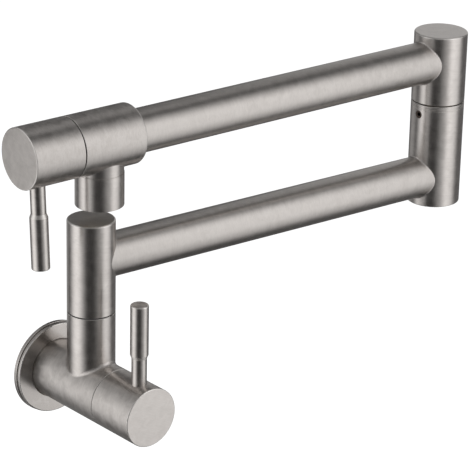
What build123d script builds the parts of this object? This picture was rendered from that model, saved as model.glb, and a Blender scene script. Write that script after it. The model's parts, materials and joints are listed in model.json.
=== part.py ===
"""Wall mounted pot filler: a double jointed swing arm tap with a valve at the wall and one at the spout.

Frame: the origin is the centre of the body's rear face, on the wall's surface. +Y goes into the wall,
-Y into the room, +X along the wall to the right and +Z up. Lengths are in millimetres, angles in degrees.
Each piece is one solid in its own file, or one group of like solids.
"""
from build123d import *
from math import cos, radians, sin, sqrt
import os

# ---------------------------------------------------------------- driving dimensions
# Layout
WALL_TO_POST = 36.6  # wall surface to the axis of the first joint
ARM_REACH = 250.0  # joint axis to joint axis, and elbow axis to spout axis
FIRST_ARM_ANGLE = -4.5  # first arm at rest, from +X, swung a little off the wall
SECOND_ARM_ANGLE = 177.35  # second arm at rest, from +X, folded back over the first
LOWER_ARM_HEIGHT = 77.4
UPPER_ARM_HEIGHT = 149.9

# Outside sizes
BODY_RADIUS = 17.2  # both valve bodies and both handle caps
POST_RADIUS = 13.65  # stub, first arm post and spout
ELBOW_RADIUS = 16.0
ARM_RADIUS = 12.5
TUBE_WALL = 1.5
STUB_TOP = 46.45
POST_TOP = 101.6
ELBOW_BOTTOM = 60.4
ELBOW_SEAM = 124.7
ELBOW_TOP = 167.3
SPOUT_BOTTOM = 112.9
SPOUT_SHOULDER = 132.0  # height where the spout's welded end is turned down
SPOUT_SPIGOT_RADIUS = 13.4
MAIN_SEAM = 21.9  # first joint's axis to the seam between body and handle
SPOUT_SEAM = 20.6  # spout axis to the seam between spout valve and handle
SPOUT_VALVE_REAR = 20.6  # spout axis back to the shoulder round the arm tube
ARM_SOCKET = 6.0  # depth that the second arm's tube goes into the spout valve
MAIN_SEAM_GAP = 0.2  # dark hairline at the handle by the wall
SPOUT_SEAM_GAP = 0.6  # wider one at the spout's handle, and at the elbow
EDGE = 0.6  # rounding or chamfer of turned edges
SEAM_EDGE = 0.15  # chamfer at each side of a fine seam
TOP_EDGE = 1.0  # rounding of the closed tops of post and elbow
SHOULDER_ROUND = 1.8  # rounding of the spout valve's shoulder

# Flange
FLANGE_RADIUS = 27.25
FLANGE_THICKNESS = 5.0
FLANGE_GROOVE_FOOT = 2.3  # wall to the groove round the rim
FLANGE_GROOVE_TOP = 3.2
FLANGE_GROOVE_DEPTH = 0.9
FLANGE_STEP = 0.3  # front disc set in from the rear ring
FLANGE_RIM = 2.2
FLANGE_FRONT_WALL = 2.0
GASKET_THICKNESS = 1.5
FLANGE_PLAY = 0.15
FLANGE_COUNTERSINK = 0.5  # bevel round the hole for the body

# Handles
CAP_LENGTH = 31.6
CAP_WALL = 2.6
CAP_HOLLOW = 10.5  # depth of the hollow that clears the cartridge's hexagon
LEVER_SETBACK = 10.8  # cap face to lever axis
LEVER_TIP = 64.5  # valve axis to the lever's end
LEVER_NECK_END = 32.6  # valve axis to the cone that widens to the grip
LEVER_GRIP = 34.8  # valve axis to the lever's thicker grip
LEVER_RADIUS = 5.15
LEVER_NECK_RADIUS = 4.3
LEVER_EDGE = 0.9  # rounding of the lever's end
LEVER_ROOT = 11.0  # valve axis to the bottom of the lever's socket
LEVER_STUD_RADIUS = 3.0
LEVER_STUD_END = 8.0
SPOUT_LEVER_TURN = 183.2  # from straight up: hangs down, a little towards the room

# Threads, bearings and waterways
INLET_RADIUS = 10.48  # outside of a half inch pipe thread
INLET_DEPTH = 15.0
HEAD_THREAD_RADIUS = 10.48
HEAD_THREAD_LENGTH = 9.0
WATERWAY_RADIUS = 5.5
PORT_RADIUS = 9.0
STUB_BORE_RADIUS = 6.5
RUNNING_PLAY = 0.05  # radial play of a shaft in its bearing
SEAL_PLAY = 0.02  # between a ring seal and the bore that it wipes
TIP_PLAY = 0.2  # retaining screw tip to the bottom of its groove

# Wall swivel, heights on the post's axis
WALL_SPINDLE_RADIUS = 9.4
WALL_SPINDLE_THREAD = 10.0
WALL_SPINDLE_FOOT = 23.0
WALL_SPINDLE_TOP = 61.0
WALL_SPINDLE_BORE = 6.0
WALL_SEALS = (27.0, 33.0)
WALL_GROOVE = 40.0
SWIVEL_WASHER = 0.7
POST_ROOF = 3.3
POST_BORE_RADIUS = 11.2

# Elbow, heights on the elbow's axis
ELBOW_SPINDLE_RADIUS = 11.0
ELBOW_SPINDLE_THREAD = 10.6
ELBOW_SPINDLE_FOOT = 100.0
ELBOW_SPINDLE_TOP = 138.0
ELBOW_SPINDLE_BORE = 7.5
ELBOW_SEALS = (104.0, 110.0)
ELBOW_GROOVE = 118.0
ELBOW_RING = 3.0
ELBOW_RING_LINES = (1.0, 2.0)  # ring's top down to the fine lines turned round it
ELBOW_RING_LINE_DEPTH = 0.15
ELBOW_SCREW_TURN = 5.0  # the retaining screw is off the arm's line, towards the room
ELBOW_FLOOR = 3.2
ELBOW_ROOF = 3.8
ELBOW_BORE_RADIUS = 12.0
ELBOW_BEARING_FOOT = 98.0

# Ring seals and screws
SEAL_GROOVE_DEPTH = 1.5
SEAL_GROOVE_WIDTH = 2.4
RETAINING_GROOVE_DEPTH = 1.5
RETAINING_GROOVE_WIDTH = 5.6
RETAINING_SCREW_RADIUS = 2.5
RETAINING_SCREW_RECESS = 0.4
HEX_KEY = 2.5
HEX_DEPTH = 2.0
HANDLE_SCREW_RADIUS = 2.5
HANDLE_SCREW_LENGTH = 8.0
HANDLE_SCREW_AT = 14.5  # seam to the screw's axis
HANDLE_SCREW_TURN = -90.0  # side that the handle's screw is on, from the lever

# Cartridge, distances from the seam: negative inside the valve body
CHAMBER_FLOOR = -34.0
CHAMBER_RADIUS = 9.4
HOUSING_RADIUS = 9.1
HOUSING_BORE = 8.0
HOUSING_FOOT = -31.4
WINDOW_LOW = -25.0
WINDOW_HIGH = -18.0
WINDOW_WIDTH = 9.0
DISC_RADIUS = 7.9
FIXED_DISC_TOP = -28.0
MOVING_DISC_TOP = -24.8
CARRIER_TOP = -18.0
CARRIER_RADIUS = 7.7
CARRIER_WEB = 5.0
JOURNAL_RADIUS = 4.5
HOUSING_TOP = 9.0
HEXAGON_ACROSS = 24.0
HEXAGON_TOP = 5.5
NECK_RADIUS = 7.5
STEM_SHAFT_RADIUS = 4.0
STEM_SHAFT_END = 17.5
STEM_FLAT = 3.2  # axis to the flat that the handle screw bears on
STEM_SEALS = (-6.0, -2.0)
STEM_SEAL_DEPTH = 0.9
STEM_SEAL_WIDTH = 1.8
CLIP_RADIUS = 6.2
CLIP_THICKNESS = 0.8
CLIP_PLAY = 0.1
CLIP_OPENING = 4.0
DISC_HOLE_INNER = 2.0
DISC_HOLE_OUTER = 6.4
DISC_HOLE_ANGLE = 80.0
HEAD_SEAL_RADIUS = 12.4
HEAD_SEAL_THICKNESS = 1.6

# Aerator, heights on the spout's axis
SPOUT_BORE_RADIUS = 10.8
AERATOR_THREAD_RADIUS = 12.0
AERATOR_RECESS = 0.4
AERATOR_TOP = 121.4
AERATOR_INNER = 10.3
AERATOR_LIP = 9.5
AERATOR_SLOT = 2.0  # width of the key slots in the lip
AERATOR_SLOT_DEPTH = 0.4
AERATOR_WASHER = 1.6
GRID_THICKNESS = 2.8
GRID_PITCH = 2.9
GRID_HOLE = 1.25
GRID_RINGS = 3
SCREEN_HEIGHTS = (117.1, 117.8)
SCREEN_THICKNESS = 0.3
SCREEN_PITCH = 2.2
SCREEN_HOLE = 0.75
SCREEN_RINGS = 4
DIFFUSER_FOOT = 118.4
DIFFUSER_HOLES = 12
DIFFUSER_HOLE_RADIUS = 1.0
DIFFUSER_PITCH_RADIUS = 7.6

FULL_TURN = 360.0
HALF_TURN = 180.0
QUARTER_TURN = 90.0
HEX_SIDES = 6
OVERCUT = 1.0  # how far a cutter stands past the face that it opens
REACH_THROUGH = 60.0  # longer than any hole or notch that a cutter passes through


# ---------------------------------------------------------------- places
def heading(angle):
    """The level direction at an angle from +X."""
    return Vector(cos(radians(angle)), sin(radians(angle)), 0)


def upright(point, facing):
    """A place whose Z is up and whose X faces along a level direction."""
    return Plane(origin=point, x_dir=facing, z_dir=(0, 0, 1)).location


def level(point, direction):
    """A place whose Z runs along a level direction and whose X is up."""
    return Plane(origin=point, x_dir=(0, 0, 1), z_dir=direction).location


first_way = heading(FIRST_ARM_ANGLE)
second_way = heading(SECOND_ARM_ANGLE)
room_way = Vector(0, -1, 0)
post_point = Vector(0, -WALL_TO_POST, 0)
elbow_point = post_point + first_way * ARM_REACH
spout_point = elbow_point + second_way * ARM_REACH

wall = level((0, 0, 0), room_way)
post = upright(post_point, first_way)
elbow = upright(elbow_point, first_way * -1)
spout = upright(spout_point, second_way)
first_arm = level(post_point + Vector(0, 0, LOWER_ARM_HEIGHT), first_way)
second_arm = level(elbow_point + Vector(0, 0, UPPER_ARM_HEIGHT), second_way)
main_seat = level(post_point + room_way * MAIN_SEAM, room_way)
spout_seat = second_arm * Location((0, 0, ARM_REACH + SPOUT_SEAM))
BODY_FRONT = WALL_TO_POST + MAIN_SEAM - MAIN_SEAM_GAP / 2
WALL_SCREW_TURN = QUARTER_TURN - FIRST_ARM_ANGLE  # the retaining screw faces the wall
SIDEWAYS = Rot(0, QUARTER_TURN, 0)  # lays a place's Z square to itself


# ---------------------------------------------------------------- shapes
def turned(place, *outline, rounds=()):
    """A turned solid: a closed outline of (radius, distance) points spun about the place's Z.

    The rounds are points of the outline whose corners are rounded, each with its radius.
    """
    face = Plane.XZ * make_face(Polyline(*outline, close=True))
    for (across, along), rounding in rounds:
        corner = face.vertices().sort_by_distance(Vector(across, 0, along))[0]
        face = fillet(corner, rounding)
    return place * revolve(face, Axis.Z, FULL_TURN)


def ring(place, inner, outer, low, high):
    """A plain ring, or a plain rod where the inner radius is nothing."""
    return turned(place, (inner, low), (outer, low), (outer, high), (inner, high))


def radial(place, distance, radius, start, end, turn=0.0):
    """A rod that stands out square from the place's Z, at a distance along it."""
    side = place * Rot(0, 0, turn) * Location((0, 0, distance)) * SIDEWAYS
    return ring(side, 0, radius, start, end)


def hexagon(place, across, low, high):
    """A six sided prism, sized across its flats."""
    outline = RegularPolygon(across / 2, HEX_SIDES, major_radius=False)
    return place * Location((0, 0, low)) * extrude(outline, high - low)


def grub_screw(place, distance, radius, start, end, key, turn=0.0):
    """A headless screw across the place's Z: cone tip at the start, hexagon socket in the end."""
    side = place * Rot(0, 0, turn) * Location((0, 0, distance)) * SIDEWAYS
    tip = radius / 2
    shank = turned(side, (0, start), (tip, start), (radius, start + tip), (radius, end), (0, end))
    return shank - hexagon(side, key, end - HEX_DEPTH, end)


def seal_grooves(place, radius, heights, depth, width):
    """Cutters for the grooves of ring seals in a shaft of the given radius."""
    outer = radius + OVERCUT
    return [ring(place, radius - depth, outer, h - width / 2, h + width / 2) for h in heights]


def seals(place, radius, heights, depth, width):
    """Ring seals that lie in those grooves and wipe the bore around the shaft."""
    inner = radius - depth
    outer = radius + RUNNING_PLAY - SEAL_PLAY
    bevel = depth / 4
    rings = []
    for height in heights:
        low = height - width / 2
        high = height + width / 2
        rings.append(turned(place, (inner, low + bevel), (inner + bevel, low), (outer - bevel, low),
                            (outer, low + bevel), (outer, high - bevel), (outer - bevel, high),
                            (inner + bevel, high), (inner, high - bevel)))
    return rings[0] + rings[1:]


def disc_openings(place, low, high, turn):
    """Cutters for the two opposite sector openings of a ceramic disc."""
    half = DISC_HOLE_ANGLE / 2
    cutters = []
    for middle in (turn, turn + HALF_TURN):
        sector = Plane.XZ * make_face(Polyline((DISC_HOLE_INNER, low), (DISC_HOLE_OUTER, low),
                                               (DISC_HOLE_OUTER, high), (DISC_HOLE_INNER, high),
                                               close=True))
        swept = revolve(sector, Axis.Z, DISC_HOLE_ANGLE)
        cutters.append(place * Rot(0, 0, middle - half) * swept)
    return cutters


def hexagonal_spots(pitch, rings):
    """Centres of a honeycomb of holes around the origin."""
    spots = []
    for column in range(-rings, rings + 1):
        for row in range(-rings, rings + 1):
            if abs(column + row) <= rings:
                across = pitch * (column + row / 2)
                along = pitch * row * sqrt(3) / 2
                spots.append((across, along))
    return spots


def perforated(place, radius, low, high, pitch, rings, hole, sides=0):
    """A disc with a honeycomb of round holes, or of holes with the given number of sides."""
    cell = RegularPolygon(hole, sides) if sides else Circle(hole)
    plate = Circle(radius) - [Pos(*spot) * cell for spot in hexagonal_spots(pitch, rings)]
    return place * Location((0, 0, low)) * extrude(plate, high - low)


# ---------------------------------------------------------------- wall flange
def make_flange():
    """The cover disc on the wall: a rim with a groove round it, a flat front and a hole for the body."""
    collar = BODY_RADIUS + FLANGE_PLAY
    front = FLANGE_RADIUS - FLANGE_STEP
    groove = FLANGE_RADIUS - FLANGE_GROOVE_DEPTH
    recess_outer = FLANGE_RADIUS - FLANGE_RIM
    recess_inner = collar + FLANGE_RIM
    floor = FLANGE_THICKNESS - FLANGE_FRONT_WALL
    groove_low = floor - SEAL_GROOVE_WIDTH
    disc = turned(wall, (collar, 0), (FLANGE_RADIUS - EDGE / 2, 0), (FLANGE_RADIUS, EDGE / 2),
                  (FLANGE_RADIUS, FLANGE_GROOVE_FOOT), (groove, FLANGE_GROOVE_FOOT),
                  (groove, FLANGE_GROOVE_TOP), (front, FLANGE_GROOVE_TOP), (front, FLANGE_THICKNESS),
                  (collar + FLANGE_COUNTERSINK, FLANGE_THICKNESS),
                  (collar, FLANGE_THICKNESS - FLANGE_COUNTERSINK),
                  rounds=[((FLANGE_RADIUS, FLANGE_GROOVE_FOOT), EDGE / 2),
                          ((front, FLANGE_THICKNESS), EDGE)])
    disc -= ring(wall, recess_inner, recess_outer, 0, floor)
    disc -= ring(wall, collar, collar + SEAL_GROOVE_DEPTH / 2, groove_low, floor)
    gasket = ring(wall, recess_inner, recess_outer, 0, GASKET_THICKNESS)
    o_ring = ring(wall, BODY_RADIUS, collar + SEAL_GROOVE_DEPTH / 2, groove_low, floor)
    return {"wall_flange": disc, "flange_gasket": gasket, "flange_o_ring": o_ring}


# ---------------------------------------------------------------- valve bodies
def chamber(seat, gap):
    """Cutters inside a valve body: cartridge chamber, head thread and the seat of the head's seal."""
    front = -gap / 2
    return [
        ring(seat, 0, CHAMBER_RADIUS, CHAMBER_FLOOR, 0),
        ring(seat, 0, HEAD_THREAD_RADIUS, -HEAD_THREAD_LENGTH, 0),
        ring(seat, 0, HEAD_SEAL_RADIUS, front - HEAD_SEAL_THICKNESS, 0),
    ]


def make_valve_body():
    """The body at the wall, and the upright stub welded on it that carries the first arm."""
    body = turned(wall, (0, 0), (BODY_RADIUS, 0), (BODY_RADIUS, BODY_FRONT - SEAM_EDGE),
                  (BODY_RADIUS - SEAM_EDGE, BODY_FRONT), (0, BODY_FRONT))
    body -= ring(wall, 0, INLET_RADIUS, 0, INLET_DEPTH)
    body -= ring(wall, 0, WATERWAY_RADIUS, 0, WALL_TO_POST)
    body -= chamber(main_seat, MAIN_SEAM_GAP)
    body -= ring(post, 0, STUB_BORE_RADIUS, 0, BODY_RADIUS + OVERCUT)

    stub = turned(post, (STUB_BORE_RADIUS, 0), (POST_RADIUS, 0), (POST_RADIUS, STUB_TOP - SEAM_EDGE),
                  (POST_RADIUS - SEAM_EDGE, STUB_TOP), (STUB_BORE_RADIUS, STUB_TOP))
    stub -= ring(wall, 0, BODY_RADIUS, 0, BODY_FRONT)
    bearing = WALL_SPINDLE_RADIUS + RUNNING_PLAY
    stub -= ring(post, 0, bearing, WALL_SPINDLE_FOOT - OVERCUT, STUB_TOP)
    stub -= radial(post, WALL_GROOVE, RETAINING_SCREW_RADIUS, 0, POST_RADIUS, WALL_SCREW_TURN)
    return {"valve_body": body, "swivel_stub": stub}


def make_spout_valve_body():
    """The body at the end of the second arm, open below into the spout."""
    rear = ARM_REACH - SPOUT_VALVE_REAR
    front = ARM_REACH + SPOUT_SEAM - SPOUT_SEAM_GAP / 2
    floor = ARM_REACH + SPOUT_SEAM + CHAMBER_FLOOR
    body = turned(second_arm, (0, rear), (BODY_RADIUS, rear), (BODY_RADIUS, front - SEAM_EDGE),
                  (BODY_RADIUS - SEAM_EDGE, front), (0, front),
                  rounds=[((BODY_RADIUS, rear), SHOULDER_ROUND)])
    body -= ring(second_arm, 0, ARM_RADIUS, rear, rear + ARM_SOCKET)
    body -= ring(second_arm, 0, WATERWAY_RADIUS, rear, floor + OVERCUT)
    body -= chamber(spout_seat, SPOUT_SEAM_GAP)
    body -= ring(spout, 0, PORT_RADIUS, UPPER_ARM_HEIGHT - BODY_RADIUS - OVERCUT, UPPER_ARM_HEIGHT)
    return {"spout_valve_body": body}


# ---------------------------------------------------------------- cartridge and handle
def make_cartridge(seat, name, gap):
    """A quarter turn ceramic cartridge: the pieces that stay still in the valve body."""
    half_hex = HEXAGON_ACROSS / 2
    thread = HEAD_THREAD_RADIUS
    front = -gap / 2
    seal_foot = front - HEAD_SEAL_THICKNESS
    housing = turned(seat, (0, HOUSING_FOOT), (HOUSING_RADIUS, HOUSING_FOOT),
                     (HOUSING_RADIUS, -HEAD_THREAD_LENGTH), (thread, -HEAD_THREAD_LENGTH),
                     (thread, front), (half_hex, front), (half_hex, HEXAGON_TOP),
                     (NECK_RADIUS, HEXAGON_TOP), (NECK_RADIUS, HOUSING_TOP), (0, HOUSING_TOP))
    housing += hexagon(seat, HEXAGON_ACROSS, front, HEXAGON_TOP)
    housing -= ring(seat, 0, HOUSING_BORE, HOUSING_FOOT, CARRIER_TOP + CLIP_PLAY)
    housing -= ring(seat, 0, JOURNAL_RADIUS + RUNNING_PLAY, HOUSING_FOOT, HOUSING_TOP)
    window = Box(REACH_THROUGH, WINDOW_WIDTH, WINDOW_HIGH - WINDOW_LOW)
    housing -= seat * Location((0, 0, (WINDOW_LOW + WINDOW_HIGH) / 2)) * window
    fixed = ring(seat, 0, DISC_RADIUS, HOUSING_FOOT, FIXED_DISC_TOP)
    fixed -= disc_openings(seat, HOUSING_FOOT, FIXED_DISC_TOP, 0)
    return {
        f"{name}_cartridge_housing": housing,
        f"{name}_cartridge_o_ring": ring(seat, thread, HEAD_SEAL_RADIUS, seal_foot, front),
        f"{name}_fixed_disc": fixed,
        f"{name}_seat_seal": ring(seat, DISC_HOLE_OUTER, HOUSING_RADIUS, CHAMBER_FLOOR, HOUSING_FOOT),
    }


def make_handle(seat, name, gap, turn):
    """A handle cap, its lever rod, and the cartridge pieces that turn with them."""
    grip = seat * Rot(0, 0, turn)
    back = gap / 2
    face = CAP_LENGTH
    hollow = BODY_RADIUS - CAP_WALL
    lever_at = face - LEVER_SETBACK
    shaft_bore = STEM_SHAFT_RADIUS + RUNNING_PLAY
    cap = turned(grip, (0, back), (BODY_RADIUS - SEAM_EDGE, back), (BODY_RADIUS, back + SEAM_EDGE),
                 (BODY_RADIUS, face), (0, face), rounds=[((BODY_RADIUS, face), EDGE)])
    cap -= ring(grip, 0, hollow, back, CAP_HOLLOW)
    cap -= ring(grip, 0, shaft_bore, back, STEM_SHAFT_END + OVERCUT)
    cap -= radial(grip, lever_at, LEVER_NECK_RADIUS, LEVER_ROOT, REACH_THROUGH)
    cap -= radial(grip, lever_at, LEVER_STUD_RADIUS, LEVER_STUD_END, REACH_THROUGH)
    cap -= radial(grip, HANDLE_SCREW_AT, HANDLE_SCREW_RADIUS, 0, REACH_THROUGH, HANDLE_SCREW_TURN)

    side = grip * Location((0, 0, lever_at)) * SIDEWAYS
    lever = turned(side, (0, LEVER_STUD_END), (LEVER_STUD_RADIUS, LEVER_STUD_END),
                   (LEVER_STUD_RADIUS, LEVER_ROOT), (LEVER_NECK_RADIUS, LEVER_ROOT),
                   (LEVER_NECK_RADIUS, LEVER_NECK_END), (LEVER_RADIUS, LEVER_GRIP),
                   (LEVER_RADIUS, LEVER_TIP), (0, LEVER_TIP),
                   rounds=[((LEVER_RADIUS, LEVER_TIP), LEVER_EDGE)])

    journal_end = HOUSING_TOP + CLIP_PLAY
    clip_end = journal_end + CLIP_THICKNESS
    clip_groove = STEM_SHAFT_RADIUS - STEM_SEAL_DEPTH / 2
    stem = turned(grip, (0, MOVING_DISC_TOP), (CARRIER_RADIUS, MOVING_DISC_TOP),
                  (CARRIER_RADIUS, CARRIER_TOP), (JOURNAL_RADIUS, CARRIER_TOP),
                  (JOURNAL_RADIUS, journal_end), (clip_groove, journal_end), (clip_groove, clip_end),
                  (STEM_SHAFT_RADIUS, clip_end), (STEM_SHAFT_RADIUS, STEM_SHAFT_END),
                  (0, STEM_SHAFT_END))
    carrier = ring(grip, 0, CARRIER_RADIUS + OVERCUT, MOVING_DISC_TOP, CARRIER_TOP - EDGE)
    web = Box(CARRIER_WEB, REACH_THROUGH, REACH_THROUGH)
    stem -= carrier - grip * web
    stem -= seal_grooves(grip, JOURNAL_RADIUS, STEM_SEALS, STEM_SEAL_DEPTH, STEM_SEAL_WIDTH)
    flat = Box(2 * STEM_SHAFT_RADIUS, REACH_THROUGH, STEM_SHAFT_END - clip_end)
    flat_middle = (STEM_SHAFT_END + clip_end) / 2
    flat_side = grip * Rot(0, 0, HANDLE_SCREW_TURN)
    stem -= flat_side * Location((STEM_FLAT + STEM_SHAFT_RADIUS, 0, flat_middle)) * flat

    clip = ring(grip, clip_groove, CLIP_RADIUS, journal_end, clip_end)
    mouth = Box(2 * CLIP_RADIUS, CLIP_OPENING, REACH_THROUGH)
    clip -= grip * Location((-CLIP_RADIUS, 0, clip_end)) * mouth
    moving = ring(grip, 0, DISC_RADIUS - CLIP_PLAY, FIXED_DISC_TOP, MOVING_DISC_TOP)
    moving -= disc_openings(grip, FIXED_DISC_TOP, MOVING_DISC_TOP, QUARTER_TURN)
    return {
        f"{name}_handle_cap": cap,
        f"{name}_lever_rod": lever,
        f"{name}_cartridge_stem": stem,
        f"{name}_moving_disc": moving,
        f"{name}_stem_o_rings": seals(grip, JOURNAL_RADIUS, STEM_SEALS, STEM_SEAL_DEPTH,
                                      STEM_SEAL_WIDTH),
        f"{name}_stem_clip": clip,
        f"{name}_handle_grub_screw": grub_screw(grip, HANDLE_SCREW_AT, HANDLE_SCREW_RADIUS, STEM_FLAT,
                                                STEM_FLAT + HANDLE_SCREW_LENGTH, HEX_KEY,
                                                HANDLE_SCREW_TURN),
    }


# ---------------------------------------------------------------- wall swivel and first arm
def make_wall_swivel():
    """The hollow spindle that turns in the stub, its seals, its washer and its retaining screw."""
    sleeve_foot = STUB_TOP + SWIVEL_WASHER
    groove_low = WALL_GROOVE - RETAINING_GROOVE_WIDTH / 2
    groove_high = WALL_GROOVE + RETAINING_GROOVE_WIDTH / 2
    groove = WALL_SPINDLE_RADIUS - RETAINING_GROOVE_DEPTH
    spindle = turned(post, (WALL_SPINDLE_BORE, WALL_SPINDLE_FOOT),
                     (WALL_SPINDLE_RADIUS - EDGE, WALL_SPINDLE_FOOT),
                     (WALL_SPINDLE_RADIUS, WALL_SPINDLE_FOOT + EDGE),
                     (WALL_SPINDLE_RADIUS, groove_low), (groove, groove_low), (groove, groove_high),
                     (WALL_SPINDLE_RADIUS, groove_high), (WALL_SPINDLE_RADIUS, sleeve_foot),
                     (WALL_SPINDLE_THREAD, sleeve_foot), (WALL_SPINDLE_THREAD, WALL_SPINDLE_TOP),
                     (WALL_SPINDLE_BORE, WALL_SPINDLE_TOP))
    spindle -= seal_grooves(post, WALL_SPINDLE_RADIUS, WALL_SEALS, SEAL_GROOVE_DEPTH, SEAL_GROOVE_WIDTH)
    screw_end = POST_RADIUS - RETAINING_SCREW_RECESS
    return {
        "wall_spindle": spindle,
        "wall_spindle_o_rings": seals(post, WALL_SPINDLE_RADIUS, WALL_SEALS, SEAL_GROOVE_DEPTH,
                                      SEAL_GROOVE_WIDTH),
        "wall_swivel_washer": ring(post, WALL_SPINDLE_RADIUS + 2 * SEAL_PLAY + RUNNING_PLAY,
                                   POST_RADIUS - EDGE, STUB_TOP, sleeve_foot - SEAL_PLAY),
        "wall_retaining_screw": grub_screw(post, WALL_GROOVE, RETAINING_SCREW_RADIUS, groove + TIP_PLAY,
                                           screw_end, HEX_KEY, WALL_SCREW_TURN),
    }


def make_first_arm():
    """The closed sleeve on the stub, the arm tube, and the socket half of the elbow."""
    sleeve_foot = STUB_TOP + SWIVEL_WASHER
    sleeve = turned(post, (0, sleeve_foot), (POST_RADIUS - SEAM_EDGE, sleeve_foot),
                    (POST_RADIUS, sleeve_foot + SEAM_EDGE), (POST_RADIUS, POST_TOP), (0, POST_TOP),
                    rounds=[((POST_RADIUS, POST_TOP), TOP_EDGE)])
    sleeve -= ring(post, 0, WALL_SPINDLE_THREAD, sleeve_foot, WALL_SPINDLE_TOP)
    sleeve -= ring(post, 0, POST_BORE_RADIUS, WALL_SPINDLE_TOP, POST_TOP - POST_ROOF)
    sleeve -= ring(first_arm, 0, PORT_RADIUS, 0, POST_RADIUS + OVERCUT)

    ring_foot = ELBOW_SEAM - SPOUT_SEAM_GAP / 2 - ELBOW_RING
    bearing = ELBOW_SPINDLE_RADIUS + RUNNING_PLAY
    socket = turned(elbow, (0, ELBOW_BOTTOM), (ELBOW_RADIUS, ELBOW_BOTTOM),
                    (ELBOW_RADIUS, ring_foot - SEAM_EDGE), (ELBOW_RADIUS - SEAM_EDGE, ring_foot),
                    (0, ring_foot), rounds=[((ELBOW_RADIUS, ELBOW_BOTTOM), EDGE)])
    socket -= ring(elbow, 0, ELBOW_BORE_RADIUS, ELBOW_BOTTOM + ELBOW_FLOOR, ELBOW_BEARING_FOOT)
    socket -= ring(elbow, 0, bearing, ELBOW_BEARING_FOOT, ring_foot)
    socket -= ring(first_arm, 0, PORT_RADIUS, ARM_REACH - ELBOW_RADIUS - OVERCUT, ARM_REACH)
    socket -= radial(elbow, ELBOW_GROOVE, RETAINING_SCREW_RADIUS, 0, ELBOW_RADIUS + OVERCUT,
                     ELBOW_SCREW_TURN)

    tube = ring(first_arm, ARM_RADIUS - TUBE_WALL, ARM_RADIUS, 0, ARM_REACH)
    tube -= ring(post, 0, POST_RADIUS, 0, POST_TOP)
    tube -= ring(elbow, 0, ELBOW_RADIUS, ELBOW_BOTTOM, ring_foot)
    groove = ELBOW_SPINDLE_RADIUS - RETAINING_GROOVE_DEPTH
    ring_top = ring_foot + ELBOW_RING
    collar = turned(elbow, (bearing, ring_foot), (ELBOW_RADIUS - SEAM_EDGE, ring_foot),
                    (ELBOW_RADIUS, ring_foot + SEAM_EDGE), (ELBOW_RADIUS, ring_top),
                    (bearing, ring_top), rounds=[((ELBOW_RADIUS, ring_top), EDGE / 2)])
    for below in ELBOW_RING_LINES:
        line = ring_top - below
        collar -= turned(elbow, (ELBOW_RADIUS - ELBOW_RING_LINE_DEPTH, line),
                         (ELBOW_RADIUS + OVERCUT, line - ELBOW_RING_LINE_DEPTH - OVERCUT),
                         (ELBOW_RADIUS + OVERCUT, line + ELBOW_RING_LINE_DEPTH + OVERCUT))
    return {
        "first_arm_post": sleeve,
        "first_arm_tube": tube,
        "elbow_socket": socket,
        "elbow_ring": collar,
        "elbow_grub_screw": grub_screw(elbow, ELBOW_GROOVE, RETAINING_SCREW_RADIUS, groove + TIP_PLAY,
                                       ELBOW_RADIUS - RETAINING_SCREW_RECESS, HEX_KEY,
                                       ELBOW_SCREW_TURN),
    }


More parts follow.
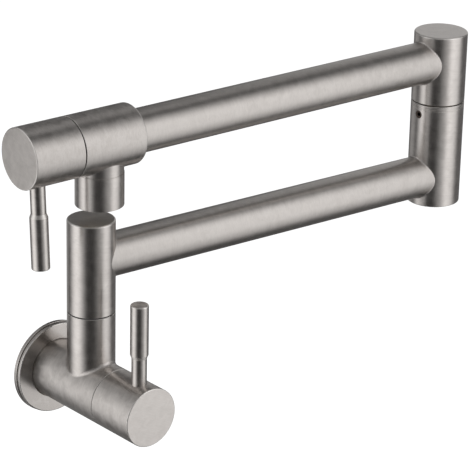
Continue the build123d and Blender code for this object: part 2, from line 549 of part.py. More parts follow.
# ---------------------------------------------------------------- elbow and second arm
def make_second_arm():
    """The upper half of the elbow with its spindle and seals, the arm tube and the spout tube."""
    post_foot = ELBOW_SEAM + SPOUT_SEAM_GAP / 2
    groove_low = ELBOW_GROOVE - RETAINING_GROOVE_WIDTH / 2
    groove_high = ELBOW_GROOVE + RETAINING_GROOVE_WIDTH / 2
    groove = ELBOW_SPINDLE_RADIUS - RETAINING_GROOVE_DEPTH
    spindle = turned(elbow, (ELBOW_SPINDLE_BORE, ELBOW_SPINDLE_FOOT),
                     (ELBOW_SPINDLE_RADIUS - EDGE, ELBOW_SPINDLE_FOOT),
                     (ELBOW_SPINDLE_RADIUS, ELBOW_SPINDLE_FOOT + EDGE),
                     (ELBOW_SPINDLE_RADIUS, groove_low), (groove, groove_low), (groove, groove_high),
                     (ELBOW_SPINDLE_RADIUS, groove_high), (ELBOW_SPINDLE_RADIUS, post_foot),
                     (ELBOW_SPINDLE_THREAD, post_foot), (ELBOW_SPINDLE_THREAD, ELBOW_SPINDLE_TOP),
                     (ELBOW_SPINDLE_BORE, ELBOW_SPINDLE_TOP))
    spindle -= seal_grooves(elbow, ELBOW_SPINDLE_RADIUS, ELBOW_SEALS, SEAL_GROOVE_DEPTH,
                            SEAL_GROOVE_WIDTH)
    upper = turned(elbow, (0, post_foot), (ELBOW_RADIUS - EDGE / 2, post_foot),
                   (ELBOW_RADIUS, post_foot + EDGE / 2), (ELBOW_RADIUS, ELBOW_TOP), (0, ELBOW_TOP),
                   rounds=[((ELBOW_RADIUS, ELBOW_TOP), TOP_EDGE)])
    upper -= ring(elbow, 0, ELBOW_SPINDLE_THREAD, post_foot, ELBOW_SPINDLE_TOP)
    upper -= ring(elbow, 0, ELBOW_BORE_RADIUS, ELBOW_SPINDLE_TOP, ELBOW_TOP - ELBOW_ROOF)
    upper -= ring(second_arm, 0, PORT_RADIUS, 0, ELBOW_RADIUS + OVERCUT)

    tube_end = ARM_REACH - SPOUT_VALVE_REAR + ARM_SOCKET
    tube = ring(second_arm, ARM_RADIUS - TUBE_WALL, ARM_RADIUS, 0, tube_end)
    tube -= ring(elbow, 0, ELBOW_RADIUS, post_foot, ELBOW_TOP)

    washer_top = AERATOR_TOP + AERATOR_WASHER
    nozzle = turned(spout, (AERATOR_THREAD_RADIUS, SPOUT_BOTTOM), (POST_RADIUS, SPOUT_BOTTOM),
                    (POST_RADIUS, SPOUT_SHOULDER), (SPOUT_SPIGOT_RADIUS, SPOUT_SHOULDER),
                    (SPOUT_SPIGOT_RADIUS, UPPER_ARM_HEIGHT), (SPOUT_BORE_RADIUS, UPPER_ARM_HEIGHT),
                    (SPOUT_BORE_RADIUS, washer_top), (AERATOR_THREAD_RADIUS, washer_top),
                    rounds=[((POST_RADIUS, SPOUT_BOTTOM), EDGE / 2)])
    nozzle -= ring(second_arm, 0, BODY_RADIUS, 0, ARM_REACH + SPOUT_SEAM)
    return {
        "elbow_post": upper,
        "elbow_spindle": spindle,
        "elbow_spindle_o_rings": seals(elbow, ELBOW_SPINDLE_RADIUS, ELBOW_SEALS, SEAL_GROOVE_DEPTH,
                                       SEAL_GROOVE_WIDTH),
        "second_arm_tube": tube,
        "spout_tube": nozzle,
    }


# ---------------------------------------------------------------- aerator
def make_aerator():
    """The screw-in aerator in the spout's end: shell, outlet grid, screens, diffuser and washer."""
    foot = SPOUT_BOTTOM + AERATOR_RECESS
    floor = foot + EDGE
    shell = turned(spout, (AERATOR_LIP, foot), (AERATOR_THREAD_RADIUS, foot),
                   (AERATOR_THREAD_RADIUS, AERATOR_TOP), (AERATOR_INNER, AERATOR_TOP),
                   (AERATOR_INNER, floor), (AERATOR_LIP, floor))
    shell -= spout * Location((0, 0, foot)) * Box(REACH_THROUGH, AERATOR_SLOT, 2 * AERATOR_SLOT_DEPTH)
    insert = AERATOR_INNER
    diffuser = ring(spout, 0, insert, DIFFUSER_FOOT, AERATOR_TOP)
    for step in range(DIFFUSER_HOLES):
        around = Rot(0, 0, step * FULL_TURN / DIFFUSER_HOLES) * Location((DIFFUSER_PITCH_RADIUS, 0, 0))
        diffuser -= ring(spout * around, 0, DIFFUSER_HOLE_RADIUS, DIFFUSER_FOOT, AERATOR_TOP)
    meshes = [perforated(spout, insert, low, low + SCREEN_THICKNESS, SCREEN_PITCH, SCREEN_RINGS, SCREEN_HOLE)
              for low in SCREEN_HEIGHTS]
    return {
        "aerator_shell": shell,
        "aerator_grid": perforated(spout, insert, floor, floor + GRID_THICKNESS, GRID_PITCH, GRID_RINGS,
                                   GRID_HOLE, HEX_SIDES),
        "aerator_screens": meshes[0] + meshes[1],
        "aerator_diffuser": diffuser,
        "aerator_washer": ring(spout, SPOUT_BORE_RADIUS - TUBE_WALL, AERATOR_THREAD_RADIUS, AERATOR_TOP,
                               AERATOR_TOP + AERATOR_WASHER),
    }


# ---------------------------------------------------------------- whole object
pieces = make_flange()
pieces |= make_valve_body()
pieces |= make_spout_valve_body()
pieces |= make_wall_swivel()
pieces |= make_first_arm()
pieces |= make_second_arm()
pieces |= make_aerator()
pieces |= make_cartridge(main_seat, "main", MAIN_SEAM_GAP)
pieces |= make_cartridge(spout_seat, "spout", SPOUT_SEAM_GAP)
pieces |= make_handle(main_seat, "main", MAIN_SEAM_GAP, 0.0)
pieces |= make_handle(spout_seat, "spout", SPOUT_SEAM_GAP, SPOUT_LEVER_TURN)

os.makedirs("parts", exist_ok=True)
for node, solid in pieces.items():
    export_step(solid, f"parts/{node}.step")
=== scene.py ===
"""Looks of a wall mounted pot filler in brushed stainless steel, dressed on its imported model.

Laid out as an add-on: the properties hold what a user would change, each operator makes one piece or one
group of like pieces, and main() runs them in order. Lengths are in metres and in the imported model's frame:
+Y goes into the wall, -Y into the room, +X along the wall and +Z up.
"""
import itertools
import json
import math
from typing import NamedTuple

import bpy
from bpy.props import FloatProperty, FloatVectorProperty, IntProperty, PointerProperty, StringProperty
from mathutils import Matrix, Vector


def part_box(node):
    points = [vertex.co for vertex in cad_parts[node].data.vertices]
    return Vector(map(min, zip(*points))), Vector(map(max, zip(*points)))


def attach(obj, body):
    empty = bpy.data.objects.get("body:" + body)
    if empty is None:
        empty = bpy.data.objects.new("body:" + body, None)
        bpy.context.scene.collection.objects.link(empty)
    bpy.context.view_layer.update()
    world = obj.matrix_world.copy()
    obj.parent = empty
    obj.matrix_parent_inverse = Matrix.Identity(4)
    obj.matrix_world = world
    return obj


bl_info = {
    "name": "Wall mounted pot filler",
    "version": (1, 0, 0),
    "blender": (4, 5, 0),
    "location": "View3D > Sidebar > Pot filler",
    "description": "Finishes, polished welds, inlet thread and studio for a folding pot filler",
    "category": "Object",
}

MM = 0.001

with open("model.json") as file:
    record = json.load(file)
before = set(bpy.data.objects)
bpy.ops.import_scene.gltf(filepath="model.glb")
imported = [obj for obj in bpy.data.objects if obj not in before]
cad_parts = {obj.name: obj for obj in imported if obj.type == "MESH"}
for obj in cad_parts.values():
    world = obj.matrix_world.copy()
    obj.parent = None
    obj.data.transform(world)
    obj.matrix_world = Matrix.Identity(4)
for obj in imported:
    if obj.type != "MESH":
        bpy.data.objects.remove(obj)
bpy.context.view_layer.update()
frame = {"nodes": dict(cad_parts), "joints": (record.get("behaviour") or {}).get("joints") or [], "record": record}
NODES = frame["nodes"]
JOINTS = {joint["name"]: joint for joint in frame["joints"]}


# ------------------------------------------------------------------ small helpers
def linear(hex_colour):
    """A linear colour from an sRGB hex value."""
    channels = [int(hex_colour[i:i + 2], 16) / 255 for i in (1, 3, 5)]
    return tuple(c / 12.92 if c <= 0.04045 else ((c + 0.055) / 1.055) ** 2.4 for c in channels) + (1.0,)


def add_node(tree, kind, inputs=None, **settings):
    """Adds a shader node, sets its options, and gives each input a value or a link."""
    node = tree.nodes.new(kind)
    for name, value in settings.items():
        setattr(node, name, value)
    for key, value in (inputs or {}).items():
        if isinstance(value, bpy.types.NodeSocket):
            tree.links.new(value, node.inputs[key])
        else:
            node.inputs[key].default_value = value
    return node


def new_material(name):
    """An empty node material, with its tree and its output."""
    material = bpy.data.materials.new(name)
    material.use_nodes = True
    tree = material.node_tree
    tree.nodes.clear()
    return material, tree, tree.nodes.new("ShaderNodeOutputMaterial")


# ------------------------------------------------------------------ axes of the turned pieces
def joint_axis(name):
    """A joint's point and direction, as vectors."""
    joint = JOINTS[name]
    return Vector(joint["pos_m"]), Vector(joint["axis"]).normalized()


def box_centre(node):
    """The middle of a node's box."""
    low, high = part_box(node)
    return (low + high) / 2


def half_size(node):
    """Half the size of a node's box."""
    low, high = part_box(node)
    return (high - low) / 2


def across(axis, vector):
    """The part of a vector that is square to an axis, at length one."""
    return (vector - axis * vector.dot(axis)).normalized()


ORIGIN = Vector((0, 0, 0))
UP = Vector((0, 0, 1))
POST_POINT, _ = joint_axis("wall_swivel")
ELBOW_POINT, _ = joint_axis("elbow_swivel")
MAIN_POINT, MAIN_AXIS = joint_axis("main_handle_turn")
SPOUT_POINT, SPOUT_AXIS = joint_axis("spout_handle_turn")
FIRST_ARM_AXIS = across(UP, ELBOW_POINT - POST_POINT)
MAIN_LEVER_AXIS = across(MAIN_AXIS, box_centre("main_lever_rod") - MAIN_POINT)
SPOUT_LEVER_AXIS = across(SPOUT_AXIS, box_centre("spout_lever_rod") - SPOUT_POINT)

# The ways that reflections are drawn out on the flat ends, square to the scratches there
CAP_WAY = Vector((0.35, 0, 1)).normalized()
SPOUT_CAP_WAY = Vector((0, -0.4, 0.92)).normalized()
WALL_POST_WAY = Vector((0.66, 0.75, 0)).normalized()
ELBOW_WAY = Vector((0.75, -0.66, 0)).normalized()


class Brushing(NamedTuple):
    """How a group of steel pieces is turned and brushed: round an axis through a point."""
    nodes: tuple
    point: Vector
    axis: Vector
    end_way: Vector = None  # square to the scratches on its flat ends, which are rings without it
    cloudy: float = 1.2  # short pieces are finished by hand, and are cloudier
    smoother: float = 0.0  # how far its roughness is below the rest
    tone: float = 0.5  # share of the light colour where the finish is even; below 0.5 it is painted shade, as on the flange


STEEL_GROUPS = {
    "body": Brushing(("valve_body", "main_handle_cap"), ORIGIN, MAIN_AXIS, CAP_WAY, cloudy=1.6),
    # painted shade: the flange takes less of the light colour, so its face is darker than the rest of the steel
    "flange": Brushing(("wall_flange",), ORIGIN, MAIN_AXIS, smoother=0.07, tone=0.3),
    "wall_post": Brushing(("swivel_stub", "first_arm_post"), POST_POINT, UP, WALL_POST_WAY),
    "lower_arm": Brushing(("first_arm_tube",), box_centre("first_arm_tube"), FIRST_ARM_AXIS, cloudy=1.1),
    "elbow": Brushing(("elbow_socket", "elbow_ring", "elbow_post"), ELBOW_POINT, UP, ELBOW_WAY),
    "upper_arm": Brushing(("second_arm_tube",), SPOUT_POINT, SPOUT_AXIS, cloudy=1.1),
    "spout_valve": Brushing(("spout_valve_body", "spout_handle_cap"), SPOUT_POINT, SPOUT_AXIS,
                            SPOUT_CAP_WAY, cloudy=2.0),
    "spout": Brushing(("spout_tube",), box_centre("spout_tube"), UP),
    "main_lever": Brushing(("main_lever_rod",), box_centre("main_lever_rod"), MAIN_LEVER_AXIS),
    "spout_lever": Brushing(("spout_lever_rod",), box_centre("spout_lever_rod"), SPOUT_LEVER_AXIS),
}


# ------------------------------------------------------------------ finishes
# The real scratches are about 0.05 mm apart, too fine to show, so they are drawn ten to twenty times as
# coarse, in two sizes. Each has a spacing and the length of the stroke that made it.
SCRATCH_SIZES = ((0.9 * MM, 5 * MM), (0.45 * MM, 2.5 * MM))
SCRATCH_DEPTH = 0.02 * MM
BRUSHED_RELIEF = 0.1  # share of that depth that shows
PATCH_SIZE = 5 * MM  # of the cloudy patches where the wheel's passes overlap
PATCH_SHARE = 0.6  # of the pattern; the scratches make the rest
BRUSHED_SWING = 0.04  # how far the pattern moves the roughness, either way
ANISOTROPY = 0.75  # how far a reflection is drawn out
EDGE_DULLING = 0.1  # how much rougher the blended edges are
END_PAINTED_LIGHT = 0.1  # painted light: how much more of the light colour the flat ends have

# Limits on how far a surface faces along its axis, which is 0 on the sides and 1 on the flat ends
FLAT_END = 0.98  # the least that counts as a flat end
EDGE_FROM_SIDE = (0.08, 0.3)  # where a blended edge starts and is full, coming from the side
EDGE_FROM_END = (0.995, 0.95)  # and coming from the flat end

# Nearly all of a noise lies between these, and its mean is in the middle
NOISE_LOW, NOISE_MEAN, NOISE_HIGH = 0.3, 0.5, 0.7

# Hand blended welds: scratches about 0.1 mm apart, drawn eight times as coarse so that they show
HAND_SCRATCH = 0.8 * MM
HAND_RELIEF = 0.2  # share of the scratches' depth that shows
HAND_ROUGHER = 0.06  # how much rougher they are than the brushed steel

# Plain finishes: grain of 0.1 mm and less, drawn coarser so that it shows
GRAIN_SIZE = 0.4 * MM
GRAIN_DEPTH = 0.004 * MM
GRAIN_RELIEF = 0.3  # share of that depth that shows
GRAIN_SWING = 0.06  # how far the grain moves the roughness, either way


def ring_pattern(tree, offset, axis):
    """Where a point lies across rings of scratches round the axis, and the way square to the scratches."""
    along = add_node(tree, "ShaderNodeVectorMath", {0: offset, 1: axis}, operation="DOT_PRODUCT")
    round_way = add_node(tree, "ShaderNodeVectorMath", {0: axis, 1: offset}, operation="CROSS_PRODUCT")
    outward = add_node(tree, "ShaderNodeVectorMath", {0: round_way.outputs[0], 1: axis},
                       operation="CROSS_PRODUCT")
    radius = add_node(tree, "ShaderNodeVectorMath", {0: outward.outputs[0]}, operation="LENGTH")
    outward_unit = add_node(tree, "ShaderNodeVectorMath", {0: outward.outputs[0]}, operation="NORMALIZE")
    # the rings follow one another along the axis on the sides, and outwards on the flat ends
    place = add_node(tree, "ShaderNodeMath", {0: along.outputs["Value"], 1: radius.outputs["Value"]},
                     operation="ADD")
    way = add_node(tree, "ShaderNodeVectorMath", {0: outward_unit.outputs[0], 1: axis}, operation="ADD")
    return place.outputs[0], way.outputs[0]


def scratch_pattern(tree, offset, line_place):
    """Two sizes of scratch: close together across the lines, and as long along them as a stroke."""
    grains = []
    for spacing, stroke in SCRATCH_SIZES:
        lines = add_node(tree, "ShaderNodeMath", {0: line_place, 1: 1 / spacing}, operation="MULTIPLY")
        line_vector = add_node(tree, "ShaderNodeCombineXYZ", {0: lines.outputs[0]})
        slow = add_node(tree, "ShaderNodeVectorMath", {0: offset, "Scale": 1 / stroke}, operation="SCALE")
        place = add_node(tree, "ShaderNodeVectorMath", {0: line_vector.outputs[0], 1: slow.outputs[0]},
                         operation="ADD")
        grain = add_node(tree, "ShaderNodeTexNoise",
                         {"Vector": place.outputs[0], "Scale": 1.0, "Detail": 2.0, "Roughness": 0.65,
                          "Distortion": 0.4})
        grains.append(grain.outputs["Fac"])
    return add_node(tree, "ShaderNodeMix", {0: 0.5, 2: grains[0], 3: grains[1]}).outputs[0]


def blended_edges(tree, facing):
    """One on the blended edges between the sides and the flat ends, and zero on those."""
    from_side, from_end = (
        add_node(tree, "ShaderNodeMapRange", {"Value": facing, "From Min": start, "From Max": full})
        for start, full in (EDGE_FROM_SIDE, EDGE_FROM_END))
    return add_node(tree, "ShaderNodeMath", {0: from_side.outputs[0], 1: from_end.outputs[0]},
                    operation="MULTIPLY").outputs[0]


def steel_colour(tree, pattern, steel):
    """The steel's colour, from dark to light as the pattern rises."""
    contrast = add_node(tree, "ShaderNodeMapRange",
                        {"Value": pattern, "From Min": NOISE_LOW, "From Max": NOISE_HIGH})
    tint = add_node(tree, "ShaderNodeMix",
                    {0: contrast.outputs[0], 6: linear(steel.dark), 7: linear(steel.light)},
                    data_type="RGBA")
    return tint.outputs[2]


def brushed_steel(name, steel, brushing):
    """Brushed 304 stainless: fine scratches run round the axis, so a reflection is drawn out along it.

    The wheel's passes overlap, which leaves faint cloudy patches. Flat ends are brushed straight, square to
    end_way, or in rings where there is no end_way; straight brushed ends are painted a little lighter, as painted
    light. Rounded edges are blended by hand, which leaves them duller; their lighter colour is a painted
    highlight.
    """
    axis, end_way = brushing.axis, brushing.end_way
    material, tree, output = new_material(name)
    where = add_node(tree, "ShaderNodeTexCoord")
    offset = add_node(tree, "ShaderNodeVectorMath", {0: where.outputs["Object"], 1: brushing.point},
                      operation="SUBTRACT").outputs[0]
    signed = add_node(tree, "ShaderNodeVectorMath", {0: where.outputs["Normal"], 1: axis},
                      operation="DOT_PRODUCT")
    facing = add_node(tree, "ShaderNodeMath", {0: signed.outputs["Value"]}, operation="ABSOLUTE").outputs[0]
    line_place, drawn_out = ring_pattern(tree, offset, axis)
    cloudy, tone = brushing.cloudy, brushing.tone
    if end_way:
        # flat ends have scratches of their own and are finished more evenly; they are also painted a little
        # lighter, as painted light
        is_end = add_node(tree, "ShaderNodeMath", {0: facing, 1: FLAT_END},
                          operation="GREATER_THAN").outputs[0]
        end_place = add_node(tree, "ShaderNodeVectorMath", {0: offset, 1: end_way},
                             operation="DOT_PRODUCT").outputs["Value"]
        line_place, cloudy, tone = (
            add_node(tree, "ShaderNodeMix", {0: is_end, 2: on_side, 3: on_end}).outputs[0]
            for on_side, on_end in ((line_place, end_place), (cloudy, 1.0), (tone, tone + END_PAINTED_LIGHT)))
        drawn_out = add_node(tree, "ShaderNodeMix", {0: is_end, 4: drawn_out, 5: end_way},
                             data_type="VECTOR").outputs[1]

    scratches = scratch_pattern(tree, offset, line_place)
    patches = add_node(tree, "ShaderNodeTexNoise",
                       {"Vector": offset, "Scale": 1 / PATCH_SIZE, "Detail": 3.0, "Distortion": 0.6})
    both = add_node(tree, "ShaderNodeMix", {0: PATCH_SHARE, 2: scratches, 3: patches.outputs["Fac"]})
    swing = add_node(tree, "ShaderNodeMath", {0: both.outputs[0], 1: NOISE_MEAN}, operation="SUBTRACT")
    pattern = add_node(tree, "ShaderNodeMath", {0: swing.outputs[0], 1: cloudy, 2: tone},
                       operation="MULTIPLY_ADD").outputs[0]

    edge = blended_edges(tree, facing)
    roughness = steel.roughness - brushing.smoother
    rough = add_node(tree, "ShaderNodeMapRange",
                     {"Value": pattern, "From Min": NOISE_LOW, "From Max": NOISE_HIGH,
                      "To Min": roughness - BRUSHED_SWING, "To Max": roughness + BRUSHED_SWING})
    dull = add_node(tree, "ShaderNodeMath", {0: edge, 1: EDGE_DULLING, 2: rough.outputs[0]},
                    operation="MULTIPLY_ADD")
    # the blended edges take a lighter colour: a painted highlight along the rounding
    colour = add_node(tree, "ShaderNodeMix",
                      {0: edge, 6: steel_colour(tree, pattern, steel), 7: linear(steel.edge)},
                      data_type="RGBA")
    bump = add_node(tree, "ShaderNodeBump",
                    {"Strength": BRUSHED_RELIEF, "Distance": SCRATCH_DEPTH, "Height": scratches})
    tangent = add_node(tree, "ShaderNodeVectorTransform", {0: drawn_out}, vector_type="VECTOR",
                       convert_from="OBJECT", convert_to="WORLD")
    shader = add_node(tree, "ShaderNodeBsdfPrincipled",
                      {"Base Color": colour.outputs[2], "Metallic": 1.0, "Roughness": dull.outputs[0],
                       "Anisotropic": ANISOTROPY, "Tangent": tangent.outputs[0],
                       "Normal": bump.outputs[0]})
    tree.links.new(shader.outputs[0], output.inputs[0])
    return material


def hand_blended_steel(steel):
    """Welds ground and blended by hand: the same steel with fine scratches every way."""
    material, tree, output = new_material("hand_blended_stainless")
    where = add_node(tree, "ShaderNodeTexCoord")
    scratches = add_node(tree, "ShaderNodeTexNoise",
                         {"Vector": where.outputs["Object"], "Scale": 1 / HAND_SCRATCH,
                          "Detail": 4.0}).outputs["Fac"]
    bump = add_node(tree, "ShaderNodeBump",
                    {"Strength": HAND_RELIEF, "Distance": SCRATCH_DEPTH, "Height": scratches})
    shader = add_node(tree, "ShaderNodeBsdfPrincipled",
                      {"Base Color": steel_colour(tree, scratches, steel), "Metallic": 1.0,
                       "Roughness": steel.roughness + HAND_ROUGHER, "Normal": bump.outputs[0]})
    tree.links.new(shader.outputs[0], output.inputs[0])
    return material


def plain_finish(name, colours, roughness, metallic=0.0):
    """A turned, moulded or lapped surface with a fine even grain between a light and a dark colour."""
    light, dark = (linear(colour) for colour in colours)
    material, tree, output = new_material(name)
    where = add_node(tree, "ShaderNodeTexCoord")
    grain = add_node(tree, "ShaderNodeTexNoise",
                     {"Vector": where.outputs["Object"], "Scale": 1 / GRAIN_SIZE,
                      "Detail": 2.0}).outputs["Fac"]
    rough = add_node(tree, "ShaderNodeMapRange",
                     {"Value": grain, "To Min": roughness - GRAIN_SWING, "To Max": roughness + GRAIN_SWING})
    tint = add_node(tree, "ShaderNodeMix", {0: grain, 6: dark, 7: light}, data_type="RGBA")
    bump = add_node(tree, "ShaderNodeBump",
                    {"Strength": GRAIN_RELIEF, "Distance": GRAIN_DEPTH, "Height": grain})
    shader = add_node(tree, "ShaderNodeBsdfPrincipled",
                      {"Base Color": tint.outputs[2], "Metallic": metallic, "Roughness": rough.outputs[0],
                       "Normal": bump.outputs[0]})
    tree.links.new(shader.outputs[0], output.inputs[0])
    return material


def dress(node, material):
    """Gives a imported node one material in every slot."""
    mesh = NODES[node].data
    mesh.materials.clear()
    mesh.materials.append(material)


class POTFILLER_OT_steel(bpy.types.Operator):
    """Gives each outside piece its brushed stainless finish"""
    bl_idname = "potfiller.steel"
    bl_label = "Brushed steel"

    def execute(self, context):
        steel = context.scene.potfiller_steel
        for group, brushing in STEEL_GROUPS.items():
            material = brushed_steel(f"brushed_stainless_{group}", steel, brushing)
            for node in brushing.nodes:
                dress(node, material)
        return {"FINISHED"}


class POTFILLER_OT_inner_finishes(bpy.types.Operator):
    """Gives the seals, cartridges, screws and aerator their finishes"""
    bl_idname = "potfiller.inner_finishes"
    bl_label = "Inner finishes"

    def execute(self, context):
        finishes = {
            # turned brass: warm, with the tool's fine marks
            "turned_brass": plain_finish("turned_brass", ("#D9B871", "#C7A258"), 0.28, metallic=1.0),
            # nitrile rubber, moulded: black and dull
            "black_rubber": plain_finish("nitrile_rubber", ("#26262A", "#1B1B1D"), 0.7),
            # acetal, moulded: off-white with a soft sheen
            "white_plastic": plain_finish("moulded_acetal", ("#E8E7E2", "#DEDCD6"), 0.42),
            # black acetal bearing washer, moulded: dull from wear
            "black_plastic": plain_finish("black_acetal", ("#2A2A2C", "#1F1F21"), 0.5),
            # lapped alumina: white and smooth
            "white_ceramic": plain_finish("lapped_alumina", ("#F3F1EC", "#ECE9E2"), 0.18),
            # black oxide steel, oiled: brown black with a soft gloss
            "black_screw_steel": plain_finish("black_oxide_steel", ("#6A5F58", "#4B423D"), 0.5,
                                              metallic=1.0),
            # spring and mesh stainless: bright drawn wire
            "stainless_mesh": plain_finish("drawn_stainless_wire", ("#CFCCC6", "#BDBAB4"), 0.25,
                                           metallic=1.0),
        }
        steel_nodes = {node for brushing in STEEL_GROUPS.values() for node in brushing.nodes}
        for part in frame["record"]["subparts"]:
            if part["node"] not in steel_nodes:
                dress(part["node"], finishes[part["material_slot"]])
        return {"FINISHED"}


# ------------------------------------------------------------------ welds
WELD_ROUND = 128  # sections round each weld
WELD_STEPS = 8  # facets across each weld's hollow
WELD_ROOT = 0.4 * MM  # how far a weld reaches into the pieces that it joins
WELD_SMOOTHING = math.radians(40)  # a weld's sharper edges stay sharp


def local_frame(origin, z_way, y_way):
    """A frame whose Z runs along a tube and whose Y runs along what it is welded to."""
    x_way = y_way.cross(z_way).normalized()
    place = Matrix((x_way, z_way.cross(x_way), z_way)).transposed().to_4x4()
    place.translation = origin
    return place


def fillet_section(angle, tube, barrel, size):
    """Section of the fillet that a ball of this size leaves between a tube and a barrel or a flat face.

    It starts on the tube, follows the ball to the barrel, and comes back inside the metal.
    """
    out = Vector((math.cos(angle), math.sin(angle), 0))
    middle = out * (tube + size)
    if barrel:
        middle.z = math.sqrt((barrel + size) ** 2 - middle.x ** 2)
        towards = Vector((-middle.x, 0, -middle.z)).normalized()
        corner = out * (tube - WELD_ROOT)
        corner.z = math.sqrt((barrel - WELD_ROOT) ** 2 - corner.x ** 2)
    else:
        middle.z = size
        towards = Vector((0, 0, -1))
        corner = out * (tube - WELD_ROOT) + Vector((0, 0, -WELD_ROOT))
    on_tube, on_barrel = middle - out * size, middle + towards * size
    arc = []
    for step in range(WELD_STEPS + 1):
        way = (-out).slerp(towards, step / WELD_STEPS)
        arc.append(middle + way * size)
    return arc + [on_barrel + towards * WELD_ROOT, corner, on_tube - out * WELD_ROOT]


def weld(name, body, place, tube, barrel, size, material):
    """A blended weld round the foot of a tube: a ring shaped to the ball's path between the two pieces."""
    sections = [fillet_section(2 * math.pi * step / WELD_ROUND, tube, barrel, size)
                for step in range(WELD_ROUND)]
    bpy.ops.mesh.primitive_torus_add(major_segments=WELD_ROUND, minor_segments=len(sections[0]),
                                     major_radius=tube + size, minor_radius=size)
    piece = bpy.context.object
    piece.name = name
    for vertex, point in zip(piece.data.vertices, itertools.chain(*sections)):
        vertex.co = place @ point
    bpy.ops.object.mode_set(mode="EDIT")
    bpy.ops.mesh.select_all(action="SELECT")
    bpy.ops.mesh.normals_make_consistent(inside=False)
    bpy.ops.object.mode_set(mode="OBJECT")
    bpy.ops.object.shade_smooth_by_angle(angle=WELD_SMOOTHING)
    piece.data.materials.clear()
    piece.data.materials.append(material)
    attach(piece, body)


def at_height(point, height):
    """The same point at another height."""
    return Vector((point.x, point.y, height))


class POTFILLER_OT_welds(bpy.types.Operator):
    """Adds the blended welds where tubes meet posts and valve bodies"""
    bl_idname = "potfiller.welds"
    bl_label = "Welds"

    def execute(self, context):
        sizes = context.scene.potfiller_sizes
        material = hand_blended_steel(context.scene.potfiller_steel)
        arm = half_size("first_arm_tube").z
        post, valve, elbow = (half_size(node).x for node in ("first_arm_post", "valve_body", "elbow_post"))
        low, high = box_centre("first_arm_tube").z, box_centre("second_arm_tube").z
        second_way = across(UP, SPOUT_POINT - ELBOW_POINT)
        shoulder = at_height(SPOUT_POINT, high) - second_way * sizes.shoulder_at
        for name, body, foot, tube_way, barrel_way, tube, barrel, size in (
                ("stub_weld", "wall_body", at_height(POST_POINT, 0), UP, MAIN_AXIS,
                 post, valve, sizes.stub_weld),
                ("first_arm_weld", "first_arm", at_height(POST_POINT, low), FIRST_ARM_AXIS, UP,
                 arm, post, sizes.post_weld),
                ("elbow_socket_weld", "first_arm", at_height(ELBOW_POINT, low), -FIRST_ARM_AXIS, UP,
                 arm, elbow, sizes.arm_weld),
                ("elbow_post_weld", "second_arm", at_height(ELBOW_POINT, high), second_way, UP,
                 arm, elbow, sizes.arm_weld),
                ("shoulder_weld", "second_arm", shoulder, -second_way, UP,
                 arm, None, sizes.arm_weld),
                ("spout_weld", "second_arm", at_height(SPOUT_POINT, high), -UP, SPOUT_AXIS,
                 sizes.spout_neck, valve, sizes.spout_weld)):
            weld(name, body, local_frame(foot, tube_way, barrel_way), tube, barrel, size, material)
        return {"FINISHED"}


# ------------------------------------------------------------------ inlet thread
THREAD_STEPS = 64  # sections in each turn
THREAD_HALF_FOOT = 0.46  # half the width of the ridge's foot, in pitches
THREAD_CREST_SHARE = 0.2  # width of its flat crest, as a share of the foot's
THREAD_FADE = 1 / 3  # turns over which the crest sinks at each end
THREAD_LEAST = 0.05  # share of its height that is left at the very ends
THREAD_SMOOTHING = math.radians(20)  # the ridge's sharper edges stay sharp


